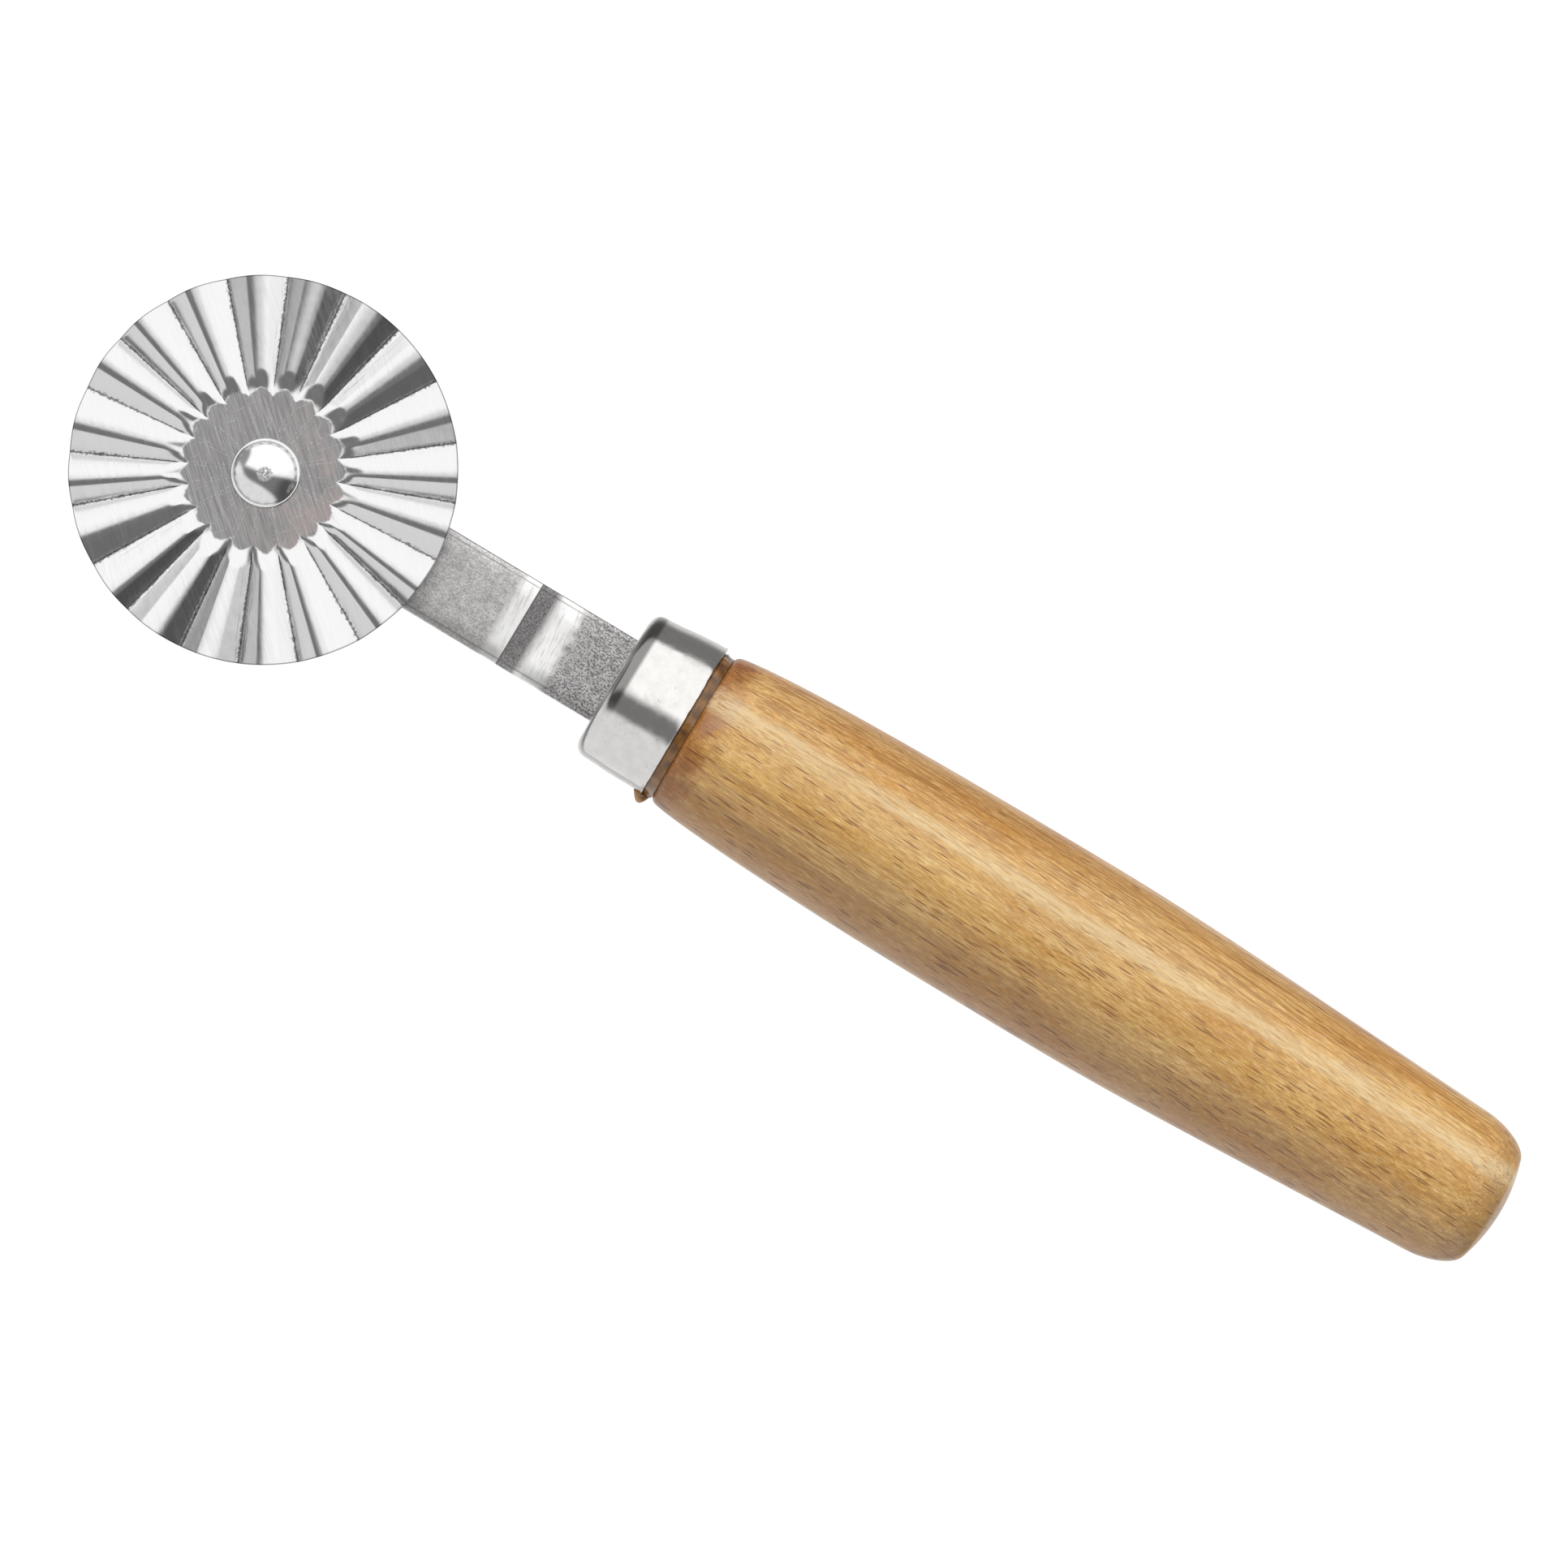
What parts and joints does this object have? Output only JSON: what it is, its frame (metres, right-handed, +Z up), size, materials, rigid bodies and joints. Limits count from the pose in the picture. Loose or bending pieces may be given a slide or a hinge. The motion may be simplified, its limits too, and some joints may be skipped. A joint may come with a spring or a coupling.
{
  "type": "pastry cutter wheel",
  "caption": "Hand-held pastry cutter: a fluted steel wheel turns on a riveted axle at the end of a stepped arm, with a ferrule and a turned wooden handle.",
  "frame": {"origin": "middle of the bottom of the whole tool's box, on the surface that the tool lies on", "axes": "+X runs from the wheel to the butt of the handle, +Z is up, away from the surface. The tool lies on the tail of its rivet and the belly of its handle, so the handle's axis rises 3.867 degrees from +X towards +Z, and the wheel's axle leans by the same angle from +Z towards -X."},
  "size_m": [0.1675, 0.04, 0.0231],
  "materials": {
    "beech": "glossy clear lacquer over honey-coloured beech",
    "nickel": "polished nickel plate",
    "galvanised": "satin mottled zinc plate",
    "wheel_steel": "pressed stainless sheet, lightly brushed",
    "rivet_steel": "polished, with a rough spot where it was hammered",
    "bush_steel": "plain turned steel",
    "glue": "set dark amber glue"
  },
  "bodies": {
    "tool": {"handle": "beech", "ferrule": "nickel", "arm": "galvanised", "axle_rivet": "rivet_steel", "hub_bush": "bush_steel", "head_washer": "bush_steel", "tail_washer": "bush_steel", "glue_bead": "glue"},
    "wheel": {"fluted_wheel": "wheel_steel"}
  },
  "joints": [
    {"name": "wheel_spin", "type": "hinge", "parent": "tool", "child": "wheel", "pos_m": [-0.06372, 0, 0.00538], "axis": [-0.0674, 0, 0.9977], "continuous": true}
  ]
}
